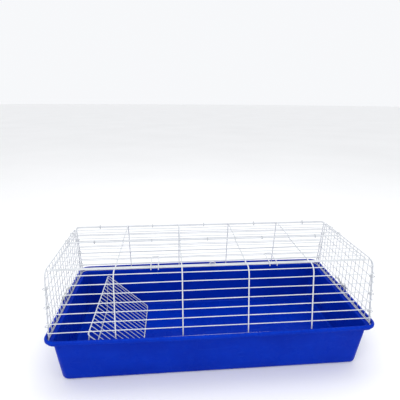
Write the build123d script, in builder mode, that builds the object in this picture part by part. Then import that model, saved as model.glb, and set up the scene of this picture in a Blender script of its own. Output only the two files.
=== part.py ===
from build123d import *

import math
import os

# Wire rabbit cage: a plastic tray, a welded wire top with a lid, two side clips and a hay rack.
# Millimetres. Origin at the centre of the tray's underside, +Z up, +X along the length,
# +Y towards the back.

# ---- tray ----
length = 1000.0
width = 465.0
rim_z = 166.0
rim_radius = 34.0
side_bow = 6.4
plastic = 3.0
lip_z = 156.0
bead_width = 8.0
seat_width = 16.0
seat_z = 152.0
end_draft = 7.0
side_draft = 16.0
floor_radius = 9.0
base_radius = 26.0

# ---- wire sizes, as radii ----
frame_r = 1.8
bar_r = 1.3
mesh_r = 1.1
ring_r = 1.0
weld = 0.1
butt = 1.2

# ---- wire top ----
post_x = 490.0
post_y = 219.0
corner_r = 20.0
turn_r = 5.0
base_z = seat_z + frame_r + 0.2
roof_z = 354.0
roof_y = 189.0
bend_r = 25.0
bar_pitch = 28.3
first_bar = 28.0
upright_x = [98.0, 294.0]
edge_y = 205.0
end_y = 196.0
mesh_pitch = 23.0

# ---- lid and roof ----
lid_x = 476.0
lid_front_y = -155.0
hinge_y = 36.0
roof_front_y = 41.0
roof_back_y = 181.0
roof_x = 482.0
front_edge_y = -160.5
front_edge_z = 353.4

# ---- clips ----
clip_width = 60.0
clip_wire_z = 187.3
clip_gap = 0.6

# ---- hay rack ----
rack_half = 179.0
rack_y = -7.0
rack_low = (-231.0, 5.0)
rack_high = (-381.0, 151.0)
rack_slats = 17

# The side walls lean in by this much for each millimetre of height.
lean = (post_y - roof_y) / (roof_z - base_z)
lean_angle = math.degrees(math.atan(lean))
inner = frame_r + bar_r - weld


def lean_in(z):
    """How far the side walls have leaned in at this height."""
    return lean * (z - base_z)


def rim_outline(inset, radius):
    """A rectangle with rounded corners and bowed long sides, this far inside the rim."""
    a = length / 2 - inset
    b = width / 2 - inset
    with BuildSketch() as outline:
        with BuildLine():
            Line((-a, -b), (-a, b))
            ThreePointArc((-a, b), (0, b + side_bow), (a, b))
            Line((a, b), (a, -b))
            ThreePointArc((a, -b), (0, -b - side_bow), (-a, -b))
        make_face()
        fillet(outline.vertices(), radius)
    return outline.sketch


def base_outline(inset):
    """The tray's floor outline, this far inside the wall's outer face."""
    wall = bead_width + seat_width - plastic
    a = length / 2 - wall - end_draft - inset
    b = width / 2 - wall - side_draft - inset
    with BuildSketch() as outline:
        RectangleRounded(2 * a, 2 * b, base_radius - inset)
    return outline.sketch


def straight_wire(start, end, radius):
    """One round wire between two points."""
    run = Vector(*end) - Vector(*start)
    with BuildPart(Plane(origin=start, z_dir=run)) as wire:
        Cylinder(radius, run.length, align=(Align.CENTER, Align.CENTER, Align.MIN))
    return wire.part


def bent_wire(points, bend, radius, closed=False):
    """One round wire along a path whose corners are bent to a radius."""
    with BuildPart() as wire:
        with BuildLine() as path:
            FilletPolyline(*points, radius=bend, close=closed)
        with BuildSketch(Plane(origin=path.line @ 0, z_dir=path.line % 0)):
            Circle(radius)
        sweep(path=path.line)
    return wire.part


def c_ring(centre, axis, major):
    """A wire ring with a small gap, closed round the wires that pass through it."""
    with BuildPart(Plane(origin=centre, z_dir=axis)) as ring:
        Torus(major, ring_r, major_angle=335)
    return ring.part


# ---- tray: tapered pan, seat for the wire, hollow bead and turned-down lip ----
seat_inset = bead_width + seat_width
with BuildPart() as tray:
    with BuildSketch(Plane.XY):
        add(base_outline(0))
    with BuildSketch(Plane.XY.offset(seat_z)):
        add(rim_outline(seat_inset - plastic, rim_radius - seat_inset + plastic))
    loft()
    fillet(tray.faces().sort_by(Axis.Z)[0].edges(), floor_radius)
    with BuildSketch(Plane.XY.offset(plastic)):
        add(base_outline(plastic))
    with BuildSketch(Plane.XY.offset(seat_z + 1)):
        add(rim_outline(seat_inset, rim_radius - seat_inset))
    loft(mode=Mode.SUBTRACT)
    # seat
    with BuildSketch(Plane.XY.offset(seat_z - plastic)):
        add(rim_outline(bead_width - plastic, rim_radius - bead_width + plastic))
        add(rim_outline(seat_inset, rim_radius - seat_inset), mode=Mode.SUBTRACT)
    extrude(amount=plastic)
    # inner wall of the bead, its top and the lip
    with BuildSketch(Plane.XY.offset(seat_z - plastic)):
        add(rim_outline(bead_width - plastic, rim_radius - bead_width + plastic))
        add(rim_outline(bead_width, rim_radius - bead_width), mode=Mode.SUBTRACT)
    extrude(amount=rim_z - seat_z + plastic)
    with BuildSketch(Plane.XY.offset(rim_z - plastic)):
        add(rim_outline(0, rim_radius))
        add(rim_outline(bead_width, rim_radius - bead_width), mode=Mode.SUBTRACT)
    extrude(amount=plastic)
    with BuildSketch(Plane.XY.offset(lip_z)):
        add(rim_outline(0, rim_radius))
        add(rim_outline(plastic, rim_radius - plastic), mode=Mode.SUBTRACT)
    extrude(amount=rim_z - lip_z)
    rim_top = tray.faces().sort_by(Axis.Z)[-1]
    fillet(rim_top.outer_wire().edges(), 4.0)
    fillet(tray.faces().sort_by(Axis.Z)[-1].inner_wires()[0].edges(), 2.0)

# ---- base frame: the closed wire that sits in the seat ----
with BuildPart() as base_frame:
    with BuildLine() as base_path:
        FilletPolyline(
            (post_x, -post_y, base_z),
            (post_x, post_y, base_z),
            (-post_x, post_y, base_z),
            (-post_x, -post_y, base_z),
            radius=corner_r,
            close=True,
        )
    with BuildSketch(Plane(origin=base_path.line @ 0, z_dir=base_path.line % 0)):
        Circle(frame_r)
    sweep(path=base_path.line)

# ---- front panel: uprights outside, bars inside, both bent over the top edge ----
stand_z = base_z + frame_r - 0.05
slope = math.hypot(post_y - roof_y, roof_z - base_z)
turn = math.radians(90 - lean_angle)
slope_end = slope - bend_r * math.tan(turn / 2)


def bar_place(station):
    """Depth and height of a bar, by its distance up the leaning wall and over the bend."""
    normal = math.radians(lean_angle)
    if station <= slope_end:
        y = -post_y + station * math.sin(normal)
        z = base_z + station * math.cos(normal)
        return y + inner * math.cos(normal), z - inner * math.sin(normal)
    over = normal + (station - slope_end) / bend_r
    y = -post_y + slope_end * math.sin(normal) + bend_r * math.cos(normal)
    z = base_z + slope_end * math.cos(normal) - bend_r * math.sin(normal)
    reach = bend_r - inner
    return y - reach * math.cos(over), z + reach * math.sin(over)


def wrap_bar(y, z):
    """A bar whose ends bend round the corners and stop at the panel's edge wires."""
    x = post_x - inner
    shift = y + post_y - inner
    back = -edge_y + shift
    return bent_wire([(-x, back, z), (-x, y, z), (x, y, z), (x, back, z)], turn_r, bar_r)


edge_x = post_x - inner
edge_end_y = 171.0
edge_bend = 14.0
stations = [first_bar + bar_pitch * i for i in range(7)]


def bent_upright(x, foot, top, bend):
    """A wire that leans up the front wall and bends over to the panel's top wire."""
    end = (x, front_edge_y - butt, front_edge_z)
    return bent_wire([(x, foot, stand_z), (x, top, front_edge_z), end], bend, frame_r)


with BuildPart() as front_panel:
    for x in upright_x + [-x for x in upright_x]:
        add(bent_upright(x, -post_y + lean_in(stand_z), -roof_y, bend_r))
    for x in (-edge_x, edge_x):
        add(bent_upright(x, -edge_y + lean_in(stand_z), -edge_y + lean_in(front_edge_z), edge_bend))
    for station in stations:
        add(wrap_bar(*bar_place(station)))
    add(straight_wire((-edge_x - 3, front_edge_y, front_edge_z), (edge_x + 3, front_edge_y, front_edge_z), frame_r))

# ---- back panel: the same welded wire, straight to a sharp top edge ----
with BuildPart() as back_panel:
    for x in upright_x + [-x for x in upright_x]:
        foot = (x, post_y - lean_in(stand_z), stand_z)
        add(straight_wire(foot, (x, post_y - lean_in(roof_z - butt), roof_z - butt), frame_r))
    for x in (-edge_x, edge_x):
        foot = (x, edge_y - lean_in(stand_z), stand_z)
        add(straight_wire(foot, (x, edge_y - lean_in(roof_z - butt), roof_z - butt), frame_r))
    for station in stations[:6]:
        add(mirror(wrap_bar(*bar_place(station)), about=Plane.XZ))
    top = [(-edge_x, edge_end_y), (-edge_x, roof_y), (edge_x, roof_y), (edge_x, edge_end_y)]
    add(bent_wire([(x, y, roof_z) for x, y in top], 8.0, frame_r))

# ---- end panels: a bent frame filled with fine mesh ----
end_top_y = end_y - lean_in(roof_z)
front_round = 25.0
back_round = 12.0
mesh_levels = [base_z + 5.0 + bar_pitch * i for i in range(7)]
mesh_sides = [mesh_pitch * (i + 0.5) for i in range(8)]


def mesh_top(y):
    """Height of the end frame's wire above a point of the mesh."""
    limit = base_z + (end_y - abs(y)) / lean
    return min(limit, roof_z)


with BuildPart() as right_panel:
    with BuildLine() as end_path:
        FilletPolyline(
            (post_x, -end_y + lean_in(stand_z), stand_z),
            (post_x, -end_top_y, roof_z),
            (post_x, end_top_y, roof_z),
            (post_x, end_y - lean_in(stand_z), stand_z),
            radius=[front_round, back_round],
        )
    with BuildSketch(Plane(origin=end_path.line @ 0, z_dir=end_path.line % 0)):
        Circle(frame_r)
    sweep(path=end_path.line)
    for z in mesh_levels:
        reach = end_y - lean_in(z)
        add(straight_wire((post_x, -reach, z), (post_x, reach, z), mesh_r))
    mesh_x = post_x - 2 * mesh_r + weld
    for y in mesh_sides + [-y for y in mesh_sides]:
        add(straight_wire((mesh_x, y, stand_z + 0.3), (mesh_x, y, mesh_top(y)), mesh_r))

with BuildPart() as left_panel:
    mirror(right_panel.part, about=Plane.YZ)

# ---- roof panel: the fixed strip behind the lid ----
with BuildPart() as roof_panel:
    add(
        bent_wire(
            [
                (roof_x, roof_front_y, roof_z),
                (roof_x, roof_back_y, roof_z),
                (-roof_x, roof_back_y, roof_z),
                (-roof_x, roof_front_y, roof_z),
            ],
            6.0,
            frame_r,
            closed=True,
        )
    )
    roof_pitch = (roof_back_y - roof_front_y) / 5
    for i in range(1, 5):
        y = roof_front_y + roof_pitch * i
        add(straight_wire((-roof_x, y, roof_z + 0.5), (roof_x, y, roof_z + 0.5), bar_r))
    cross_z = roof_z + 2 * frame_r - weld
    for x in upright_x + [-x for x in upright_x]:
        add(straight_wire((x, roof_front_y, cross_z), (x, roof_back_y, cross_z), frame_r))

# ---- lid: a framed panel that turns on its own rear wire ----
with BuildPart() as lid_panel:
    add(
        bent_wire(
            [
                (lid_x, lid_front_y, roof_z),
                (lid_x, hinge_y, roof_z),
                (-lid_x, hinge_y, roof_z),
                (-lid_x, lid_front_y, roof_z),
            ],
            8.0,
            frame_r,
            closed=True,
        )
    )
    lid_pitch = (hinge_y - lid_front_y) / 7
    for i in range(1, 7):
        y = lid_front_y + lid_pitch * i
        add(straight_wire((-lid_x, y, roof_z - 0.5), (lid_x, y, roof_z - 0.5), bar_r))
    under_z = roof_z - 2 * frame_r + weld
    for x in upright_x + [-x for x in upright_x]:
        add(straight_wire((x, lid_front_y, under_z), (x, hinge_y, under_z), frame_r))

# ---- lid hooks: U-shaped wires that reach over the front panel's top edge ----
hook_z = roof_z + frame_r + bar_r - weld
hook_half = 11.0
hook_front_y = front_edge_y - frame_r - bar_r - 1.6
hook_back_y = -96.0
hook_tip_z = 347.0
with BuildPart() as lid_hooks:
    for x in (-178.0, 178.0):
        hook = [
            (x - hook_half, hook_front_y, hook_tip_z),
            (x - hook_half, hook_front_y, hook_z),
            (x - hook_half, hook_back_y, hook_z),
            (x + hook_half, hook_back_y, hook_z),
            (x + hook_half, hook_front_y, hook_z),
            (x + hook_half, hook_front_y, hook_tip_z),
        ]
        add(bent_wire(hook, 3.0, bar_r))

# ---- pull ring: lies flat on the lid's front wire ----
with BuildPart(Plane.XY.offset(roof_z + frame_r + 1.2 - weld)) as pull_ring:
    with Locations((-6.0, lid_front_y)):
        Torus(8.5, 1.2)

# ---- hinge rings: hold the lid's rear wire to the roof panel's front wire ----
ring_clear = 0.3
hinge_major = (roof_front_y - hinge_y) / 2 + frame_r + ring_clear + ring_r
with BuildPart() as hinge_rings:
    for x in (-392.0, -196.0, 0.0, 196.0, 392.0):
        add(c_ring((x, (hinge_y + roof_front_y) / 2, roof_z), (1, 0, 0), hinge_major))

# ---- back rings: hold the roof panel to the back panel ----
back_major = (roof_y - roof_back_y) / 2 + frame_r + ring_clear + ring_r
with BuildPart() as back_rings:
    for x in (-400.0, -200.0, 0.0, 200.0, 400.0):
        add(c_ring((x, (roof_y + roof_back_y) / 2, roof_z), (1, 0, 0), back_major))

# ---- end rings: hold the roof panel to the top of each end panel ----
end_major = (post_x - roof_x) / 2 + frame_r + ring_clear + ring_r
with BuildPart() as right_end_rings:
    for y in (50.0, 112.0):
        add(c_ring(((post_x + roof_x) / 2, y, roof_z), (0, 1, 0), end_major))
with BuildPart() as left_end_rings:
    mirror(right_end_rings.part, about=Plane.YZ)

# ---- corner rings: hold the front and back panels' edge wires to the end frames ----
edge_gap = math.hypot(inner, (edge_y - end_y) * math.cos(math.radians(lean_angle)))
corner_major = edge_gap / 2 + frame_r + ring_clear + ring_r
with BuildPart() as front_right_rings:
    for z in (193.5, 249.5, 305.5):
        centre = (post_x - inner / 2, -(edge_y + end_y) / 2 + lean_in(z), z)
        add(c_ring(centre, (0, lean, 1), corner_major))
with BuildPart() as front_left_rings:
    mirror(front_right_rings.part, about=Plane.YZ)
with BuildPart() as back_right_rings:
    mirror(front_right_rings.part, about=Plane.XZ)
with BuildPart() as back_left_rings:
    mirror(front_left_rings.part, about=Plane.XZ)

# ---- clips: hooked on an end panel's wire, with a shield-shaped pad over the rim ----
hook_in = mesh_r + 0.08
hook_out = hook_in + 2.6
plate_x = length / 2 + clip_gap
with BuildPart() as right_clip:
    with BuildSketch(Plane.XZ):
        with BuildLine():
            Polyline(
                (post_x, clip_wire_z + hook_out),
                (post_x + 6, clip_wire_z + 3.0),
                (plate_x + plastic, rim_z + 7),
                (plate_x + plastic, rim_z - 26),
                (plate_x + plastic + 4, rim_z - 70),
                (plate_x + 4, rim_z - 70),
                (plate_x, rim_z - 26),
                (plate_x, rim_z + 6),
                (post_x + 3.5, clip_wire_z - 1.5),
                (post_x, clip_wire_z - 1.5),
                close=True,
            )
        make_face()
        with Locations((post_x, clip_wire_z)):
            Circle(hook_out)
            Circle(hook_in, mode=Mode.SUBTRACT)
        with Locations((post_x - 1.5, clip_wire_z - 3.0)):
            Rectangle(2.2, 4.0, mode=Mode.SUBTRACT)
    extrude(amount=clip_width / 2, both=True)
    with BuildSketch(Plane.YZ.offset(post_x - 10)):
        with Locations((0, clip_wire_z - 3)):
            Rectangle(clip_width, 24)
        with Locations((0, clip_wire_z - 2)):
            Rectangle(36, 30, mode=Mode.SUBTRACT)
        with Locations((0, rim_z - 11.5)):
            Rectangle(clip_width, 51)
        with Locations((0, rim_z - 40)):
            RectangleRounded(clip_width, 60, 27)
        for side in (-1, 1):
            with Locations((side * clip_width / 2, rim_z + 1)):
                Circle(6, mode=Mode.SUBTRACT)
    extrude(amount=60, mode=Mode.INTERSECT)
with BuildPart() as left_clip:
    mirror(right_clip.part, about=Plane.YZ)

# ---- hay rack: two rails and two side wires, closed by slats, on a bent leg wire ----
rack_run = Vector(rack_high[0] - rack_low[0], 0, rack_high[1] - rack_low[1])
rack_up = Vector(-rack_run.Z, 0, rack_run.X).normalized() * -1
slat_lift = rack_up * (frame_r + mesh_r - weld)
with BuildPart() as rack_frame:
    low_x, low_z = rack_low
    high_x, high_z = rack_high
    add(
        bent_wire(
            [
                (low_x, rack_y + rack_half, low_z),
                (high_x, rack_y + rack_half, high_z),
                (high_x, rack_y - rack_half, high_z),
                (low_x, rack_y - rack_half, low_z),
            ],
            8.0,
            frame_r,
            closed=True,
        )
    )
with BuildPart() as rack_slat_set:
    for i in range(1, rack_slats + 1):
        y = rack_y - rack_half + 2 * rack_half * i / (rack_slats + 1)
        start = Vector(low_x, y, low_z) + slat_lift
        add(straight_wire(tuple(start), tuple(start + rack_run), mesh_r))
with BuildPart() as rack_leg:
    leg_top = high_z - 2 * frame_r + weld
    leg_y = rack_half - 14.0
    foot_x = high_x - 12.0
    add(
        bent_wire(
            [
                (high_x, rack_y - leg_y, leg_top),
                (foot_x, rack_y - leg_y, low_z),
                (foot_x, rack_y + leg_y, low_z),
                (high_x, rack_y + leg_y, leg_top),
            ],
            10.0,
            frame_r,
        )
    )

pieces = {
    "tray": tray,
    "base_frame": base_frame,
    "front_panel": front_panel,
    "back_panel": back_panel,
    "left_panel": left_panel,
    "right_panel": right_panel,
    "roof_panel": roof_panel,
    "lid_panel": lid_panel,
    "lid_hooks": lid_hooks,
    "pull_ring": pull_ring,
    "hinge_rings": hinge_rings,
    "back_rings": back_rings,
    "left_end_rings": left_end_rings,
    "right_end_rings": right_end_rings,
    "front_left_rings": front_left_rings,
    "front_right_rings": front_right_rings,
    "back_left_rings": back_left_rings,
    "back_right_rings": back_right_rings,
    "left_clip": left_clip,
    "right_clip": right_clip,
    "rack_frame": rack_frame,
    "rack_slats": rack_slat_set,
    "rack_leg": rack_leg,
}

os.makedirs("parts", exist_ok=True)
for name, piece in pieces.items():
    piece.part.label = name
    export_step(piece.part, f"parts/{name}.step")
    box = piece.part.bounding_box()
    print(name, len(piece.part.solids()), round(piece.part.volume), tuple(round(v, 1) for v in (*box.min, *box.max)))
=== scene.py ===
import math
import random

import bmesh
import bpy
from mathutils import Euler, Matrix, Vector


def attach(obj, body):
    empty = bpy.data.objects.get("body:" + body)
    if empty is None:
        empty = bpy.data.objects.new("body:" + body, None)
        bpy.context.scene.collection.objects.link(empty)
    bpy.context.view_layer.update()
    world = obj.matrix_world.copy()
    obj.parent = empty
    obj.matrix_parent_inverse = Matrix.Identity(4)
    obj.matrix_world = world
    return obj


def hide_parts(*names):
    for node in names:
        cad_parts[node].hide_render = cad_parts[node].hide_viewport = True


# Wire rabbit cage. Shapes are written in millimetres, in the CAD frame, and made in metres.
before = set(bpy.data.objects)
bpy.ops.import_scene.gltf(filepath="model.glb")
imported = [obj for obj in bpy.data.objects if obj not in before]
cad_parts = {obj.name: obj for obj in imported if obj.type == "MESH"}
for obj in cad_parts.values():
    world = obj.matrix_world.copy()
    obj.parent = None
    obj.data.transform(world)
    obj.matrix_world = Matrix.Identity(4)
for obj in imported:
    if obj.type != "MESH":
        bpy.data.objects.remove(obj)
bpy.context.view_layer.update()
chance = random.Random(11)
METRE = 0.001

# ---- sizes, as in the CAD part, in millimetres ----
# tray: outside size, heights of rim, lip and seat, plan radii, insets of the wall's corners, drafts
LENGTH, WIDTH, SIDE_BOW = 1000.0, 465.0, 6.4
RIM_Z, LIP_Z, SEAT_Z = 166.0, 156.0, 152.0
RIM_RADIUS, BASE_RADIUS = 34.0, 26.0
PLASTIC, BEAD_INSET, SEAT_INSET = 3.0, 8.0, 24.0
WALL_INSET = SEAT_INSET - PLASTIC
FOOT_INSET = WALL_INSET + 22.0
END_DRAFT, SIDE_DRAFT = 7.0, 16.0
END_STEPS, TURN_STEPS, SIDE_STEPS = 10, 12, 24
# wires: radii, how deep welds sink and where wires butt, lengths between rings of points
FRAME_R, BAR_R, MESH_R, RING_R, PULL_R = 1.8, 1.3, 1.1, 1.0, 1.2
WELD, BUTT, WELD_RISE = 0.1, 1.2, 1.6
FINE_STEP, STEP, LONG_STEP = 24.0, 30.0, 40.0
BEAD_LEVELS, BEAD_SIDES = 4, 8
# wire top: corner posts, base, roof, the lean of the long walls, bar heights
POST_X, POST_Y, CORNER_R, TURN_R = 490.0, 219.0, 20.0, 5.0
BASE_Z, STAND_Z, ROOF_Z, ROOF_Y = 154.0, 155.75, 354.0, 189.0
BEND_R, EDGE_BEND = 25.0, 14.0
END_BENDS = [25.0, 12.0]
UPRIGHTS = (-294.0, -98.0, 98.0, 294.0)
INNER = FRAME_R + BAR_R - WELD
EDGE_X = POST_X - INNER
EDGE_Y, END_Y, EDGE_END_Y = 205.0, 196.0, 171.0
FRONT_EDGE_Y, FRONT_EDGE_Z = -160.5, 353.4
LEAN = (POST_Y - ROOF_Y) / (ROOF_Z - BASE_Z)
LEAN_ANGLE = math.atan(LEAN)
SLOPE_END = math.hypot(POST_Y - ROOF_Y, ROOF_Z - BASE_Z) - BEND_R * math.tan((math.pi / 2 - LEAN_ANGLE) / 2)
BAR_PITCH, MESH_PITCH = 28.3, 23.0
STATIONS = [28.0 + BAR_PITCH * i for i in range(7)]
MESH_LEVELS = [BASE_Z + 5.0 + BAR_PITCH * i for i in range(7)]
# lid, roof, hooks and pull ring
LID_X, LID_FRONT_Y, HINGE_Y = 476.0, -155.0, 36.0
ROOF_X, ROOF_FRONT_Y, ROOF_BACK_Y = 482.0, 41.0, 181.0
HOOK_X, HOOK_HALF, HOOK_BACK_Y, HOOK_TIP_Z = 178.0, 11.0, -96.0, 347.0
PULL_X, PULL_MAJOR, PULL_STEPS = -6.0, 8.5, 32
# C-rings
RING_CLEAR, RING_SWEEP, RING_STEPS = 0.3, math.radians(335), 28
HINGE_RING_X = (-392.0, -196.0, 0.0, 196.0, 392.0)
BACK_RING_X = (-400.0, -200.0, 0.0, 200.0, 400.0)
END_RING_Y = (50.0, 112.0)
CORNER_RING_Z, CORNER_RING_R = (193.5, 249.5, 305.5), 7.79
# clips: half width, the wire they hook on, ears, rounded pad, neck, bordered recess
CLIP_HALF, CLIP_WIRE_Z = 30.0, 187.3
EAR_FROM, EAR_FOOT_Z = 0.6, RIM_Z + 12.0
HOOK_MID, EAR_HALF, HOOK_STEPS = 2.48, 1.3, 24
PAD_FOOT_Z, PAD_RADIUS = RIM_Z - 70.0, 27.0
NECK_Z, NECK_R = RIM_Z + 1.0, 6.0
BORDER, RECESS = 4.2, 0.8
PLATE_X = LENGTH / 2 + 0.6 + PLASTIC / 2
# hay rack
RACK_HALF, RACK_Y, RACK_SLATS = 179.0, -7.0, 17
RACK_LOW, RACK_HIGH = Vector((-231.0, RACK_Y, 5.0)), Vector((-381.0, RACK_Y, 151.0))
LEG_INSET, LEG_SPLAY = 14.0, 12.0
X, Y, Z = Vector((1, 0, 0)), Vector((0, 1, 0)), Vector((0, 0, 1))


def lean_in(z):
    """How far the long walls have leaned in at this height."""
    return LEAN * (z - BASE_Z)


# ---- mesh building ----
class Shape:
    """Points, faces and one mark per point: 1 on welds, cut ends and worn edges, 0 elsewhere."""

    def __init__(self):
        self.points = []
        self.faces = []
        self.marks = []

    def ring(self, places, mark=0.0):
        start = len(self.points)
        self.points += places
        self.marks += [mark] * len(places)
        return list(range(start, start + len(places)))

    def bridge(self, a, b):
        for i in range(len(a)):
            j = (i + 1) % len(a)
            self.faces.append((a[i], a[j], b[j], b[i]))

    def make(self, name, body, nodes, slot, finish, mirror_x=False):
        """Turns the shape into a piece that rides a body, and hides the CAD nodes it takes the place of."""
        flip = -1 if mirror_x else 1
        mesh = bpy.data.meshes.new(name)
        points = [(p[0] * METRE * flip, p[1] * METRE, p[2] * METRE) for p in self.points]
        mesh.from_pydata(points, [], self.faces)
        mark = mesh.attributes.new("mark", "FLOAT", "POINT")
        mark.data.foreach_set("value", self.marks)
        work = bmesh.new()
        work.from_mesh(mesh)
        bmesh.ops.recalc_face_normals(work, faces=work.faces)
        work.to_mesh(mesh)
        work.free()
        mesh.polygons.foreach_set("use_smooth", [True] * len(mesh.polygons))
        piece = bpy.data.objects.new(name, mesh)
        bpy.context.scene.collection.objects.link(piece)
        mesh.materials.append(finish)
        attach(piece, body)
        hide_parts(*nodes)
        return piece


def bend_path(points, radius, closed=False, arc=9):
    """A polyline whose corners are rounded; radius is one number or one for each corner."""
    points = [Vector(p) for p in points]
    count = len(points)
    inner = count if closed else count - 2
    radii = list(radius) if isinstance(radius, (list, tuple)) else [radius] * inner
    path = []
    for i, corner in enumerate(points):
        if not closed and i in (0, count - 1):
            path.append(corner)
            continue
        bend = radii[i if closed else i - 1]
        back = (points[i - 1] - corner).normalized()
        ahead = (points[(i + 1) % count] - corner).normalized()
        half = back.angle(ahead) / 2
        centre = corner + (back + ahead).normalized() * (bend / math.sin(half))
        start = corner + back * (bend / math.tan(half)) - centre
        end = corner + ahead * (bend / math.tan(half)) - centre
        path += [centre + start.slerp(end, k / arc).normalized() * bend for k in range(arc + 1)]
    return path


def divided(path, step, closed=False):
    """The path with its long runs cut into shorter ones."""
    out = []
    for i, start in enumerate(path):
        last = i == len(path) - 1
        if last and not closed:
            out.append(start)
            continue
        end = path[(i + 1) % len(path)]
        parts = max(1, math.ceil((end - start).length / step))
        out += [start.lerp(end, k / parts) for k in range(parts)]
    return out


def drawn(path, amount):
    """The path with the faint waviness of drawn and straightened wire; its ends stay put."""
    chord = (path[-1] - path[0]).normalized()
    side = chord.orthogonal().normalized()
    other = chord.cross(side)
    waves = [(chance.uniform(1.2, 3.4), chance.uniform(0, math.tau)) for _ in range(2)]
    out = []
    for i, point in enumerate(path):
        along = i / (len(path) - 1)
        hold = min(1.0, 8 * along, 8 * (1 - along))
        a = math.sin(waves[0][0] * math.tau * along + waves[0][1]) * hold
        b = math.sin(waves[1][0] * math.tau * along + waves[1][1]) * hold
        out.append(point + (side * a + other * b) * amount)
    return out


def tube(shape, path, radius, sides=12, closed=False, mark=0.0):
    """A round wire along a path; open ends are cut and slightly rounded."""
    count = len(path)
    if not closed:
        head = (path[1] - path[0]).normalized()
        tail = (path[-2] - path[-1]).normalized()
        front = [path[0], path[0] + head * 0.2 * radius, path[0] + head * 0.6 * radius]
        rear = [path[-1] + tail * 0.6 * radius, path[-1] + tail * 0.2 * radius, path[-1]]
        path = front + path[1:-1] + rear
        count = len(path)
    sizes = [radius] * count
    marks = [mark] * count
    if not closed:
        for i, size in ((0, 0.62), (1, 0.9)):
            sizes[i] = sizes[-1 - i] = radius * size
            marks[i] = marks[-1 - i] = 1.0
    side = None
    rings = []
    for i, point in enumerate(path):
        before = path[i - 1] if closed or i else path[0]
        after = path[(i + 1) % count] if closed or i < count - 1 else path[-1]
        heading = (after - before).normalized()
        side = heading.orthogonal() if side is None else side
        side = (side - heading * side.dot(heading)).normalized()
        up = heading.cross(side)
        turns = [math.tau * k / sides for k in range(sides)]
        places = [point + (side * math.cos(t) + up * math.sin(t)) * sizes[i] for t in turns]
        rings.append(shape.ring(places, marks[i]))
    for a, b in zip(rings, rings[1:]):
        shape.bridge(a, b)
    if closed:
        shape.bridge(rings[-1], rings[0])
    else:
        shape.faces.append(tuple(reversed(rings[0])))
        shape.faces.append(tuple(rings[-1]))


def wire(shape, start, end, radius, wave=0.25):
    """A straight drawn wire between two points."""
    tube(shape, drawn(divided([Vector(start), Vector(end)], FINE_STEP), wave), radius)


def weld_bead(shape, centre, along, across, reach, depth):
    """The small lump of coating and metal where two wires are welded."""
    centre = Vector(centre)
    along, across = along.normalized(), across.normalized()
    out = along.cross(across).normalized()
    grow = chance.uniform(0.94, 1.08)
    rings = []
    for k in range(1, BEAD_LEVELS + 1):
        tilt = math.pi * k / (BEAD_LEVELS + 1)
        size, rise = math.sin(tilt) * reach * grow, math.cos(tilt) * depth
        spots = [math.tau * j / BEAD_SIDES for j in range(BEAD_SIDES)]
        level = centre + out * rise
        places = [level + along * math.cos(s) * size + across * math.sin(s) * size for s in spots]
        rings.append(shape.ring(places, 1.0))
    for a, b in zip(rings, rings[1:]):
        shape.bridge(a, b)
    shape.faces.append(tuple(reversed(rings[0])))
    shape.faces.append(tuple(rings[-1]))


# ---- finishes ----
class Finish:
    """A node material: a few helpers round one Principled shader."""

    def __init__(self, name, constants):
        self.material = bpy.data.materials.new(name)
        self.material.use_nodes = True
        self.tree = self.material.node_tree
        self.shader = self.tree.nodes["Principled BSDF"]
        for socket, value in constants.items():
            self.shader.inputs[socket].default_value = value
        self.place = self.tree.nodes.new("ShaderNodeTexCoord").outputs["Object"]

    def noise(self, scale, detail=3.0, rough=0.5, stretch=(1, 1, 1)):
        mapping = self.tree.nodes.new("ShaderNodeMapping")
        mapping.inputs["Scale"].default_value = stretch
        self.tree.links.new(self.place, mapping.inputs["Vector"])
        node = self.tree.nodes.new("ShaderNodeTexNoise")
        node.inputs["Scale"].default_value = scale
        node.inputs["Detail"].default_value = detail
        node.inputs["Roughness"].default_value = rough
        self.tree.links.new(mapping.outputs["Vector"], node.inputs["Vector"])
        return node.outputs["Fac"]

    def mark(self):
        node = self.tree.nodes.new("ShaderNodeAttribute")
        node.attribute_name = "mark"
        return node.outputs["Fac"]

    def spread(self, value, low, high, to_low, to_high):
        node = self.tree.nodes.new("ShaderNodeMapRange")
        for socket, number in zip(("From Min", "From Max", "To Min", "To Max"), (low, high, to_low, to_high)):
            node.inputs[socket].default_value = number
        self.tree.links.new(value, node.inputs["Value"])
        return node.outputs["Result"]

    def maths(self, operation, a, b):
        node = self.tree.nodes.new("ShaderNodeMath")
        node.operation = operation
        for socket, value in zip(node.inputs, (a, b)):
            if isinstance(value, (int, float)):
                socket.default_value = value
            else:
                self.tree.links.new(value, socket)
        return node.outputs["Value"]

    def blend(self, factor, a, b):
        node = self.tree.nodes.new("ShaderNodeMix")
        node.data_type = "RGBA"
        self.tree.links.new(factor, node.inputs["Factor"])
        for socket, value in zip((node.inputs[6], node.inputs[7]), (a, b)):
            if isinstance(value, tuple):
                socket.default_value = (*value, 1.0)
            else:
                self.tree.links.new(value, socket)
        return node.outputs[2]

    def bump(self, height, strength, distance, under=None):
        node = self.tree.nodes.new("ShaderNodeBump")
        node.inputs["Strength"].default_value = strength
        node.inputs["Distance"].default_value = distance
        self.tree.links.new(height, node.inputs["Height"])
        if under is not None:
            self.tree.links.new(under, node.inputs["Normal"])
        return node.outputs["Normal"]

    def set(self, socket, value):
        self.tree.links.new(value, self.shader.inputs[socket])


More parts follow.
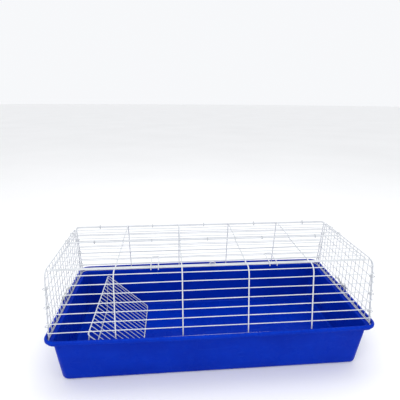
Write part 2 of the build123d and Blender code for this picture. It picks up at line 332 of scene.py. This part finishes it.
def blue_plastic():
    """Glossy moulded polypropylene: deep blue, faint flow marks, fine scratches, paler worn edges."""
    f = Finish("tray_blue_plastic", {"IOR": 1.46, "Specular IOR Level": 0.04})
    flow = f.noise(5.0, 4.0, 0.55, (1.0, 1.0, 2.2))
    colour = f.blend(f.spread(flow, 0.32, 0.68, 0.0, 1.0), (0.0003, 0.018, 0.33), (0.0005, 0.025, 0.40))
    cloudy = f.spread(f.noise(38.0, 5.0, 0.6), 0.45, 0.75, 0.0, 0.16)
    colour = f.blend(cloudy, colour, (0.002, 0.050, 0.52))
    scuff = f.spread(f.noise(60.0, 6.0, 0.7, (0.12, 1.0, 1.0)), 0.60, 0.72, 0.0, 0.22)
    colour = f.blend(scuff, colour, (0.008, 0.07, 0.54))
    worn = f.maths("MULTIPLY", f.mark(), f.spread(f.noise(120.0, 6.0, 0.75), 0.42, 0.66, 0.05, 0.55))
    colour = f.blend(worn, colour, (0.002, 0.050, 0.54))
    f.set("Base Color", colour)
    gloss = f.spread(f.noise(14.0, 5.0, 0.6), 0.3, 0.7, 0.20, 0.34)
    gloss = f.maths("ADD", gloss, f.maths("MULTIPLY", scuff, 0.9))
    gloss = f.maths("ADD", gloss, f.maths("MULTIPLY", worn, 0.25))
    f.set("Roughness", gloss)
    peel = f.bump(f.noise(900.0, 2.0, 0.5), 0.10, 0.00025)
    sink = f.bump(f.noise(22.0, 2.0, 0.4), 0.16, 0.0012, peel)
    f.set("Normal", f.bump(scuff, 0.12, 0.0003, sink))
    return f.material


def coated_wire(name, light, shade, speck_and_weld_shade):
    """White dipped coating on welded wire: soft gloss, fine orange peel, duller lumps at the welds; painted
    shade darkens the weld lumps where wires cross, and the cut ends are darker too.
    """
    f = Finish(name, {"IOR": 1.5, "Specular IOR Level": 0.35, "Coat Weight": 0.05, "Coat Roughness": 0.2})
    patch = f.spread(f.noise(16.0, 4.0, 0.6), 0.35, 0.7, 0.0, 1.0)
    colour = f.blend(patch, light, shade)
    speck = f.spread(f.noise(420.0, 3.0, 0.6), 0.64, 0.74, 0.0, 0.35)
    colour = f.blend(speck, colour, speck_and_weld_shade)
    # painted shade: the marked weld lumps where wires cross go darker towards the darkest tint in noisy
    # patches, and so do the cut ends
    weld_shade_and_ends = f.maths("MULTIPLY", f.mark(), f.spread(f.noise(210.0, 4.0, 0.6), 0.35, 0.65, 0.25, 0.85))
    colour = f.blend(weld_shade_and_ends, colour, speck_and_weld_shade)
    f.set("Base Color", colour)
    gloss = f.spread(f.noise(55.0, 4.0, 0.6), 0.3, 0.7, 0.30, 0.46)
    f.set("Roughness", f.maths("ADD", gloss, f.maths("MULTIPLY", weld_shade_and_ends, 0.25)))
    peel = f.bump(f.noise(1400.0, 2.0, 0.5), 0.18, 0.00015)
    f.set("Normal", f.bump(f.noise(240.0, 3.0, 0.5), 0.22, 0.0004, peel))
    return f.material


def clip_plastic():
    """Off-white translucent polyethylene with a frosted moulded surface."""
    f = Finish(
        "clip_white_plastic",
        {
            "IOR": 1.5,
            "Specular IOR Level": 0.4,
            "Subsurface Weight": 0.35,
            "Subsurface Radius": (0.006, 0.006, 0.005),
            "Subsurface Scale": 0.6,
        },
    )
    haze = f.spread(f.noise(28.0, 4.0, 0.6), 0.3, 0.7, 0.0, 1.0)
    colour = f.blend(haze, (0.60, 0.62, 0.60), (0.68, 0.68, 0.63))
    edge = f.maths("MULTIPLY", f.mark(), f.spread(f.noise(160.0, 4.0, 0.6), 0.3, 0.7, 0.2, 0.7))
    colour = f.blend(edge, colour, (0.76, 0.77, 0.75))
    f.set("Base Color", colour)
    f.set("Roughness", f.spread(f.noise(70.0, 4.0, 0.6), 0.3, 0.7, 0.36, 0.52))
    grain = f.bump(f.noise(1100.0, 2.0, 0.5), 0.2, 0.0002)
    f.set("Normal", f.bump(f.noise(60.0, 3.0, 0.5), 0.15, 0.0006, grain))
    return f.material


BLUE = blue_plastic()
WHITE = coated_wire("cage_white_wire", (0.66, 0.68, 0.70), (0.58, 0.60, 0.62), (0.50, 0.52, 0.54))
RING = coated_wire("ring_white_wire", (0.52, 0.54, 0.56), (0.44, 0.46, 0.48), (0.38, 0.39, 0.41))
RACK = coated_wire("rack_white_wire", (0.66, 0.69, 0.73), (0.58, 0.61, 0.65), (0.50, 0.53, 0.57))
CLIP = clip_plastic()


# ---- camera, fitted to the photograph's corners of the tray and the wire top ----
camera_data = bpy.data.cameras.new("camera")
camera_data.sensor_width = 36.0
camera_data.lens = 30.81
camera = bpy.data.objects.new("camera", camera_data)
camera.location = (-0.1263, -1.0778, 0.8266)
down, turned, rolled = 0.2852, -0.0878, 0.0064
level_aim = Euler((math.pi / 2 - down, 0.0, turned)).to_matrix()
camera.rotation_euler = (level_aim @ Matrix.Rotation(rolled, 3, "Z")).to_euler()
bpy.context.scene.collection.objects.link(camera)
bpy.context.scene.camera = camera


# ---- tray: one moulded shell, swept from its wall section ----
def outline(a, b, radius, bow):
    """Points round a rectangle with rounded corners and bowed long sides, the same count for every size."""
    turn = math.atan(2 * bow * (a - radius) / (a * a))
    centre_x = a - radius
    touch = centre_x + radius * math.sin(turn)
    centre_y = b + bow * (1 - (touch / a) ** 2) - radius * math.cos(turn)
    quarter = [(a, centre_y * i / END_STEPS) for i in range(END_STEPS)]
    for k in range(TURN_STEPS + 1):
        angle = (math.pi / 2 - turn) * k / TURN_STEPS
        quarter.append((centre_x + radius * math.cos(angle), centre_y + radius * math.sin(angle)))
    for i in range(1, SIDE_STEPS + 1):
        x = touch * (1 - i / SIDE_STEPS)
        quarter.append((x, b + bow * (1 - (x / a) ** 2)))
    second = [(-x, y) for x, y in reversed(quarter[:-1])]
    half = quarter + second
    return half + [(-x, -y) for x, y in half[1:-1]]


def tray_loop(inset, z):
    """The tray's outline this far inside the rim; below the seat it tapers to the base."""
    rim = outline(LENGTH / 2 - inset, WIDTH / 2 - inset, max(RIM_RADIUS - inset, 1.5), SIDE_BOW)
    if inset < WALL_INSET:
        return [Vector((x, y, z)) for x, y in rim]
    a = LENGTH / 2 - inset - END_DRAFT
    b = WIDTH / 2 - inset - SIDE_DRAFT
    base = outline(a, b, max(BASE_RADIUS + WALL_INSET - inset, 1.5), 0.0)
    rise = min(z / SEAT_Z, 1.0)
    return [Vector((p[0] + (q[0] - p[0]) * rise, p[1] + (q[1] - p[1]) * rise, z)) for p, q in zip(base, rim)]


# corners of the wall's section as inset, height and corner radius
section = [
    (FOOT_INSET, 0.0, None),
    (WALL_INSET, 0.0, 9.0),
    (WALL_INSET, SEAT_Z - PLASTIC, 1.5),
    (BEAD_INSET - PLASTIC, SEAT_Z - PLASTIC, 1.2),
    (BEAD_INSET - PLASTIC, RIM_Z - PLASTIC, 0.9),
    (PLASTIC, RIM_Z - PLASTIC, 0.9),
    (PLASTIC, LIP_Z, 1.4),
    (0.0, LIP_Z, 1.4),
    (0.0, RIM_Z, 4.0),
    (BEAD_INSET, RIM_Z, 2.0),
    (BEAD_INSET, SEAT_Z, 1.6),
    (SEAT_INSET, SEAT_Z, 2.2),
    (SEAT_INSET, PLASTIC, 8.0),
    (FOOT_INSET, PLASTIC, None),
]
tray = Shape()
profile = bend_path([(s, 0.0, z) for s, z, _ in section], [r for _, _, r in section[1:-1]], arc=6)
profile = divided(profile, 14.0)
rings = []
for spot in profile:
    inset, z = spot.x, spot.z
    worn = 0.0
    if inset < BEAD_INSET - PLASTIC and z > RIM_Z - PLASTIC:
        worn = 1.0
    elif inset < PLASTIC + 0.2 and z < LIP_Z + 2.0:
        worn = 0.8
    elif z < 2 * PLASTIC and inset < SEAT_INSET + 6.0:
        worn = 0.7
    rings.append(tray.ring(tray_loop(inset, z), worn))
for a, b in zip(rings, rings[1:]):
    tray.bridge(a, b)
tray.faces.append(tuple(rings[0]))
tray.faces.append(tuple(reversed(rings[-1])))
tray.make("tray_moulding", "tray", ["tray"], "tray", BLUE)


# ---- base frame ----
base = Shape()
corners = [(POST_X, -POST_Y), (POST_X, POST_Y), (-POST_X, POST_Y), (-POST_X, -POST_Y)]
corners = [(x, y, BASE_Z) for x, y in corners]
tube(base, divided(bend_path(corners, CORNER_R, closed=True), STEP, closed=True), FRAME_R, closed=True)
for x in UPRIGHTS:
    for y in (-POST_Y, POST_Y):
        weld_bead(base, (x, y, BASE_Z + WELD_RISE), X, Y, 2.3, 1.3)
for side in (-1, 1):
    for y in (-END_Y, END_Y):
        weld_bead(base, (side * POST_X, y, BASE_Z + WELD_RISE), X, Y, 2.3, 1.3)
base.make("base_frame_wire", "wire_top", ["base_frame"], "cage_wire", WHITE)


# ---- front and back panels ----
def bar_place(station):
    """A bar's depth and height on the front wall, and the way out of the wall there."""
    if station <= SLOPE_END:
        out = Vector((0, -math.cos(LEAN_ANGLE), math.sin(LEAN_ANGLE)))
        up = Vector((0, math.sin(LEAN_ANGLE), math.cos(LEAN_ANGLE)))
        return Vector((0, -POST_Y, BASE_Z)) + up * station - out * INNER, out
    over = LEAN_ANGLE + (station - SLOPE_END) / BEND_R
    top = Vector((0, math.sin(LEAN_ANGLE), math.cos(LEAN_ANGLE))) * SLOPE_END
    into = Vector((0, math.cos(LEAN_ANGLE), -math.sin(LEAN_ANGLE)))
    centre = Vector((0, -POST_Y, BASE_Z)) + top + into * BEND_R
    out = Vector((0, -math.cos(over), math.sin(over)))
    return centre + out * (BEND_R - INNER), out


def wrap_panel(shape, side):
    """What the front (-1) and back (1) panels share: wrapped bars, uprights' welds and edge wires."""
    for station in STATIONS if side < 0 else STATIONS[:6]:
        place, out = bar_place(station)
        y, z = place.y, place.z
        back = -EDGE_Y + (y + POST_Y - INNER)
        corners = [(-EDGE_X, back, z), (-EDGE_X, y, z), (EDGE_X, y, z), (EDGE_X, back, z)]
        path = divided(bend_path(corners, TURN_R), LONG_STEP)
        if side > 0:
            path = [Vector((p.x, -p.y, p.z)) for p in path]
        tube(shape, drawn(path, 0.35), BAR_R)
        flip = Vector((1, -side, 1))
        for x in UPRIGHTS:
            spot = (place + out * (BAR_R - 0.1)) * flip
            weld_bead(shape, (x, spot.y, spot.z), X, out.cross(X) * flip, 2.3, 1.9)
        for x in (-EDGE_X, EDGE_X):
            weld_bead(shape, (x, -side * back, z), Y, Z, 2.3, 2.1)


front = Shape()
wrap_panel(front, -1)
for x in UPRIGHTS:
    foot = (x, -POST_Y + lean_in(STAND_Z), STAND_Z)
    end = (x, FRONT_EDGE_Y - BUTT, FRONT_EDGE_Z)
    tube(front, divided(bend_path([foot, (x, -ROOF_Y, FRONT_EDGE_Z), end], BEND_R), STEP), FRAME_R)
    weld_bead(front, (x, FRONT_EDGE_Y - WELD_RISE, FRONT_EDGE_Z), X, Z, 2.3, 1.3)
for x in (-EDGE_X, EDGE_X):
    foot = (x, -EDGE_Y + lean_in(STAND_Z), STAND_Z)
    end = (x, FRONT_EDGE_Y - BUTT, FRONT_EDGE_Z)
    top = (x, -EDGE_Y + lean_in(FRONT_EDGE_Z), FRONT_EDGE_Z)
    tube(front, divided(bend_path([foot, top, end], EDGE_BEND), STEP), FRAME_R)
    weld_bead(front, (x, FRONT_EDGE_Y - WELD_RISE, FRONT_EDGE_Z), X, Z, 2.3, 1.3)
wire(front, (-EDGE_X - 3, FRONT_EDGE_Y, FRONT_EDGE_Z), (EDGE_X + 3, FRONT_EDGE_Y, FRONT_EDGE_Z), FRAME_R)
front.make("front_panel_wires", "wire_top", ["front_panel"], "cage_wire", WHITE)

back = Shape()
wrap_panel(back, 1)
for x in UPRIGHTS:
    top = ROOF_Z - BUTT
    wire(back, (x, POST_Y - lean_in(STAND_Z), STAND_Z), (x, POST_Y - lean_in(top), top), FRAME_R)
    weld_bead(back, (x, POST_Y - lean_in(top), top), X, Y, 2.3, 1.3)
for x in (-EDGE_X, EDGE_X):
    top = ROOF_Z - BUTT
    wire(back, (x, EDGE_Y - lean_in(STAND_Z), STAND_Z), (x, EDGE_Y - lean_in(top), top), FRAME_R)
lip = [(-EDGE_X, EDGE_END_Y), (-EDGE_X, ROOF_Y), (EDGE_X, ROOF_Y), (EDGE_X, EDGE_END_Y)]
tube(back, divided(bend_path([(x, y, ROOF_Z) for x, y in lip], 8.0), LONG_STEP), FRAME_R)
back.make("back_panel_wires", "wire_top", ["back_panel"], "cage_wire", WHITE)


# ---- end panels ----
def end_panel():
    """The right end: a bent frame wire filled with fine mesh."""
    shape = Shape()
    low_y = END_Y - lean_in(STAND_Z)
    top_y = END_Y - lean_in(ROOF_Z)
    corners = [(-low_y, STAND_Z), (-top_y, ROOF_Z), (top_y, ROOF_Z), (low_y, STAND_Z)]
    corners = [(POST_X, y, z) for y, z in corners]
    tube(shape, divided(bend_path(corners, END_BENDS), STEP), FRAME_R)
    mesh_x = POST_X - 2 * MESH_R + WELD
    columns = [sign * MESH_PITCH * (i + 0.5) for i in range(8) for sign in (-1, 1)]
    for z in MESH_LEVELS:
        reach = END_Y - lean_in(z)
        wire(shape, (POST_X, -reach, z), (POST_X, reach, z), MESH_R)
        for y in (-reach, reach):
            weld_bead(shape, (POST_X, y, z), X, Z, 2.2, 1.9)
    for y in columns:
        top = min(BASE_Z + (END_Y - abs(y)) / LEAN, ROOF_Z)
        wire(shape, (mesh_x, y, STAND_Z + 0.3), (mesh_x, y, top), MESH_R)
        weld_bead(shape, (mesh_x + 1.0, y, top), X, Z, 2.0, 1.6)
        for z in MESH_LEVELS:
            if z < top - 4:
                weld_bead(shape, (POST_X - 1.05, y, z), Y, Z, 1.75, 1.5)
    return shape


end_panel().make("right_panel_wires", "wire_top", ["right_panel"], "cage_wire", WHITE)
end_panel().make("left_panel_wires", "wire_top", ["left_panel"], "cage_wire", WHITE, mirror_x=True)


# ---- roof panel and lid ----
def flat_panel(half, y_front, y_back, bend, bar_ys, bar_z, cross_z):
    """A framed strip of straight bars, with four cross wires welded over or under them."""
    shape = Shape()
    corners = [(half, y_front), (half, y_back), (-half, y_back), (-half, y_front)]
    corners = [(x, y, ROOF_Z) for x, y in corners]
    tube(shape, divided(bend_path(corners, bend, closed=True), LONG_STEP, closed=True), FRAME_R, closed=True)
    for y in bar_ys:
        wire(shape, (-half, y, bar_z), (half, y, bar_z), BAR_R, 0.35)
        for x in (-half, half):
            weld_bead(shape, (x, y, bar_z), X, Y, 2.3, 2.0)
    middle = (ROOF_Z + cross_z) / 2
    for x in UPRIGHTS:
        wire(shape, (x, y_front, cross_z), (x, y_back, cross_z), FRAME_R)
        for y in list(bar_ys) + [y_front, y_back]:
            weld_bead(shape, (x, y, middle), X, Y, 2.4, 1.9)
    return shape


roof_bars = [ROOF_FRONT_Y + (ROOF_BACK_Y - ROOF_FRONT_Y) / 5 * i for i in range(1, 5)]
roof = flat_panel(ROOF_X, ROOF_FRONT_Y, ROOF_BACK_Y, 6.0, roof_bars, ROOF_Z + 0.5, ROOF_Z + 3.5)
roof.make("roof_panel_wires", "wire_top", ["roof_panel"], "cage_wire", WHITE)
lid_bars = [LID_FRONT_Y + (HINGE_Y - LID_FRONT_Y) / 7 * i for i in range(1, 7)]
lid = flat_panel(LID_X, LID_FRONT_Y, HINGE_Y, 8.0, lid_bars, ROOF_Z - 0.5, ROOF_Z - 3.5)
lid.make("lid_panel_wires", "lid", ["lid_panel"], "cage_wire", WHITE)

hooks = Shape()
hook_z = ROOF_Z + FRAME_R + BAR_R - WELD
hook_y = FRONT_EDGE_Y - FRAME_R - BAR_R - 1.6
for x in (-HOOK_X, HOOK_X):
    a, b = x - HOOK_HALF, x + HOOK_HALF
    hook = [(a, hook_y, HOOK_TIP_Z), (a, hook_y, hook_z), (a, HOOK_BACK_Y, hook_z)]
    hook += [(b, HOOK_BACK_Y, hook_z), (b, hook_y, hook_z), (b, hook_y, HOOK_TIP_Z)]
    tube(hooks, divided(bend_path(hook, 3.0), 10.0), BAR_R)
    for leg in (a, b):
        weld_bead(hooks, (leg, LID_FRONT_Y, hook_z - 1.2), X, Y, 2.0, 1.5)
hooks.make("lid_hook_wires", "lid", ["lid_hooks"], "cage_wire", WHITE)


# ---- rings ----
def c_ring(shape, centre, axis, major):
    """A wire ring squeezed shut round two wires, with a small gap between its ends."""
    axis = Vector(axis).normalized()
    side = axis.orthogonal().normalized()
    up = axis.cross(side)
    start = chance.uniform(0, math.tau)
    path = []
    for k in range(RING_STEPS + 1):
        turn = start + RING_SWEEP * k / RING_STEPS
        path.append(Vector(centre) + (side * math.cos(turn) + up * math.sin(turn)) * major)
    tube(shape, path, RING_R, sides=10)


pull = Shape()
pull_z = ROOF_Z + FRAME_R + PULL_R - WELD
pull_centre = Vector((PULL_X, LID_FRONT_Y, pull_z))
loop = [math.tau * k / PULL_STEPS for k in range(PULL_STEPS)]
pull_path = [pull_centre + (X * math.cos(t) + Y * math.sin(t)) * PULL_MAJOR for t in loop]
tube(pull, pull_path, PULL_R, closed=True)
for x in (PULL_X - PULL_MAJOR, PULL_X + PULL_MAJOR):
    weld_bead(pull, (x, LID_FRONT_Y, pull_z - 1.0), X, Y, 1.9, 1.3)
pull.make("pull_ring_wire", "lid", ["pull_ring"], "ring_wire", RING)

ring_room = FRAME_R + RING_CLEAR + RING_R
hinge = Shape()
for x in HINGE_RING_X:
    c_ring(hinge, (x, (HINGE_Y + ROOF_FRONT_Y) / 2, ROOF_Z), X, (ROOF_FRONT_Y - HINGE_Y) / 2 + ring_room)
hinge.make("hinge_ring_wires", "wire_top", ["hinge_rings"], "ring_wire", RING)

rear = Shape()
for x in BACK_RING_X:
    c_ring(rear, (x, (ROOF_Y + ROOF_BACK_Y) / 2, ROOF_Z), X, (ROOF_Y - ROOF_BACK_Y) / 2 + ring_room)
rear.make("back_ring_wires", "wire_top", ["back_rings"], "ring_wire", RING)

for name, side in (("left_end", -1), ("right_end", 1)):
    ends = Shape()
    for y in END_RING_Y:
        c_ring(ends, (side * (POST_X + ROOF_X) / 2, y, ROOF_Z), Y, (POST_X - ROOF_X) / 2 + ring_room)
    ends.make(name + "_ring_wires", "wire_top", [name + "_rings"], "ring_wire", RING)

corners = (("front_left", -1, -1), ("front_right", 1, -1), ("back_left", -1, 1), ("back_right", 1, 1))
for name, side, face in corners:
    corner = Shape()
    for z in CORNER_RING_Z:
        centre = (side * (POST_X - INNER / 2), face * ((EDGE_Y + END_Y) / 2 - lean_in(z)), z)
        c_ring(corner, centre, (0, -face * LEAN, 1), CORNER_RING_R)
    corner.make(name + "_ring_wires", "wire_top", [name + "_rings"], "ring_wire", RING)


# ---- clips ----
def clip_width_at(z):
    """Half the plate's width at a height: a rounded pad below, and a neck just above the rim's top."""
    below = PAD_FOOT_Z + PAD_RADIUS - z
    if below > 0:
        return CLIP_HALF - PAD_RADIUS + math.sqrt(max(PAD_RADIUS**2 - below**2, 0.0))
    from_neck = z - NECK_Z
    if abs(from_neck) < NECK_R:
        return CLIP_HALF - math.sqrt(NECK_R**2 - from_neck**2)
    return CLIP_HALF


def clip_shape():
    """The right clip: a bent plate with a bordered pad, and two ears that hook on a wire."""
    shape = Shape()
    foot = (PLATE_X + 4.0, 0, PAD_FOOT_Z + 0.05)
    head = (POST_X + 4.9, 0, CLIP_WIRE_Z + 0.5)
    line = [foot, (PLATE_X, 0, RIM_Z - 26.0), (PLATE_X, 0, RIM_Z + 6.5), head]
    path = divided(bend_path(line, [30.0, 9.0], arc=7), 2.4)
    half = [0.2, 0.4, EAR_FROM, 0.69, 0.78, 0.84, 0.9, 0.965, 1]
    columns = [-c for c in half[::-1]] + [0] + half
    grids = ([], [])
    for i, point in enumerate(path):
        after = path[min(i + 1, len(path) - 1)]
        before = path[max(i - 1, 0)]
        heading = (after - before).normalized()
        out = Vector((heading.z, 0, -heading.x))
        width = clip_width_at(point.z)
        rim = min(i, 3) / 3
        for grid, sign in zip(grids, (1, -1)):
            row = []
            for c in columns:
                from_edge = min((1 - abs(c)) * width, max(point.z - PAD_FOOT_Z, 0.0) * 1.2)
                round_off = 0.62 + 0.38 * min(from_edge / 1.1, 1.0) ** 0.5
                recess = 0.0
                if sign > 0 and point.z < RIM_Z - 8.0:
                    inside = min(max((from_edge - BORDER) / 1.6, 0.0), 1.0)
                    top = min(max((RIM_Z - 12.0 - point.z) / 2.5, 0.0), 1.0)
                    recess = RECESS * inside * top
                offset = sign * PLASTIC / 2 * (0.7 + 0.3 * rim) * round_off - recess
                edge = 1.0 if from_edge < 1.3 or (sign > 0 and 3.0 < from_edge < 4.6) else 0.0
                place = point + out * offset + Vector((0, c * width, 0))
                row.append(shape.ring([place], edge)[0])
            grid.append(row)
    kept = set()
    for i in range(len(path) - 1):
        for j in range(len(columns) - 1):
            middle = abs(columns[j] + columns[j + 1]) / 2
            if middle > EAR_FROM or path[i + 1].z <= EAR_FOOT_Z:
                kept.add((i, j))
    for i, j in kept:
        for grid, turn in zip(grids, (1, -1)):
            face = (grid[i][j], grid[i][j + 1], grid[i + 1][j + 1], grid[i + 1][j])
            shape.faces.append(face[::turn])
        for di, dj in ((-1, 0), (1, 0), (0, -1), (0, 1)):
            if (i + di, j + dj) in kept:
                continue
            row, column = i + max(di, 0), j + max(dj, 0)
            end_row, end_column = (row, column + 1) if di else (row + 1, column)
            outer, under = grids
            top_pair = (outer[row][column], outer[end_row][end_column])
            shape.faces.append(top_pair + (under[end_row][end_column], under[row][column]))
    for side in (-1, 1):
        slices = []
        ear = EAR_FROM * CLIP_HALF
        for y, size in ((ear, 0.84), (ear + 0.5, 1.0), (CLIP_HALF - 0.5, 1.0), (CLIP_HALF, 0.84)):
            outer, under = [], []
            for k in range(HOOK_STEPS + 1):
                turn = math.radians(-72 + 282 * k / HOOK_STEPS)
                way = Vector((math.cos(turn), 0, math.sin(turn)))
                hub = Vector((POST_X, side * y, CLIP_WIRE_Z))
                outer.append(hub + way * (HOOK_MID + EAR_HALF * size))
                under.append(hub + way * (HOOK_MID - EAR_HALF * size))
            slices.append(shape.ring(outer + under[::-1], 1.0 if size < 1 else 0.2))
        for a, b in zip(slices, slices[1:]):
            shape.bridge(a, b)
        for ring in (slices[0], slices[-1]):
            for k in range(HOOK_STEPS):
                shape.faces.append((ring[k], ring[k + 1], ring[-2 - k], ring[-1 - k]))
    return shape


clip_shape().make("right_clip_moulding", "right_clip", ["right_clip"], "clip", CLIP)
clip_shape().make("left_clip_moulding", "left_clip", ["left_clip"], "clip", CLIP, mirror_x=True)


# ---- hay rack ----
run = RACK_HIGH - RACK_LOW
lift = Vector((run.z, 0, -run.x)).normalized()
rack = Shape()
half = Y * RACK_HALF
corners = [RACK_LOW + half, RACK_HIGH + half, RACK_HIGH - half, RACK_LOW - half]
tube(rack, divided(bend_path(corners, 8.0, closed=True), STEP, closed=True), FRAME_R, closed=True)
rack.make("rack_frame_wire", "hay_rack", ["rack_frame"], "rack_wire", RACK)

slats = Shape()
for i in range(1, RACK_SLATS + 1):
    across = Y * (-RACK_HALF + 2 * RACK_HALF * i / (RACK_SLATS + 1))
    raised = across + lift * (FRAME_R + MESH_R - WELD)
    wire(slats, RACK_LOW + raised, RACK_HIGH + raised, MESH_R)
    for end in (RACK_LOW, RACK_HIGH):
        inward = (RACK_LOW + RACK_HIGH) / 2 - end
        weld_bead(slats, end + across + lift * 1.7 + inward.normalized() * 1.2, run, Y, 2.2, 1.5)
slats.make("rack_slat_wires", "hay_rack", ["rack_slats"], "rack_wire", RACK)

leg = Shape()
leg_y, foot_x = RACK_HALF - LEG_INSET, RACK_HIGH.x - LEG_SPLAY
leg_top = RACK_HIGH.z - 2 * FRAME_R + WELD
leg_ends = (RACK_Y - leg_y, RACK_Y + leg_y)
leg_line = [(RACK_HIGH.x, leg_ends[0], leg_top), (foot_x, leg_ends[0], RACK_LOW.z)]
leg_line += [(foot_x, leg_ends[1], RACK_LOW.z), (RACK_HIGH.x, leg_ends[1], leg_top)]
tube(leg, divided(bend_path(leg_line, 10.0), STEP), FRAME_R)
for y in leg_ends:
    weld_bead(leg, (RACK_HIGH.x, y, leg_top + 1.4), X, Y, 2.4, 1.6)
leg.make("rack_leg_wire", "hay_rack", ["rack_leg"], "rack_wire", RACK)


# ---- floor, light ----
def pale_floor():
    f = Finish("floor_paper", {"Specular IOR Level": 0.2})
    tone = f.spread(f.noise(0.8, 3.0, 0.5), 0.3, 0.7, 0.0, 1.0)
    f.set("Base Color", f.blend(tone, (0.90, 0.90, 0.90), (0.93, 0.93, 0.93)))
    f.set("Roughness", f.spread(f.noise(3.0, 3.0, 0.5), 0.3, 0.7, 0.7, 0.8))
    return f.material


floor_mesh = bpy.data.meshes.new("floor")
floor_radius, floor_sides, floor_z = 60, 64, -0.0005
turns = [math.tau * k / floor_sides for k in range(floor_sides)]
edge = [(floor_radius * math.cos(t), floor_radius * math.sin(t), floor_z) for t in turns]
floor_mesh.from_pydata(edge, [], [tuple(range(floor_sides))])
floor_mesh.materials.append(pale_floor())
floor = bpy.data.objects.new("floor", floor_mesh)
bpy.context.scene.collection.objects.link(floor)


def soft_light(name, place, aim, size, power, colour):
    """A square soft box at a place, turned towards a point."""
    data = bpy.data.lights.new(name, "AREA")
    data.shape = "RECTANGLE"
    data.size, data.size_y = size
    data.energy = power
    data.color = colour
    lamp = bpy.data.objects.new(name, data)
    lamp.location = place
    lamp.rotation_euler = (Vector(aim) - Vector(place)).to_track_quat("-Z", "Y").to_euler()
    bpy.context.scene.collection.objects.link(lamp)


soft_light("key", (-1.4, -2.2, 2.6), (0, 0, 0.15), (2.0, 2.0), 34, (1.0, 0.99, 0.97))
soft_light("overhead", (0.2, 0.5, 2.8), (0, 0, 0.1), (2.4, 1.8), 20, (0.98, 0.99, 1.0))
soft_light("fill", (2.4, -1.4, 1.2), (0, 0, 0.15), (1.6, 1.6), 8, (0.97, 0.98, 1.0))

world = bpy.data.worlds.new("studio")
world.use_nodes = True
world.node_tree.nodes["Background"].inputs["Color"].default_value = (0.97, 0.98, 1.0, 1.0)
world.node_tree.nodes["Background"].inputs["Strength"].default_value = 0.96
bpy.context.scene.world = world
bpy.context.scene.view_settings.view_transform = "Standard"
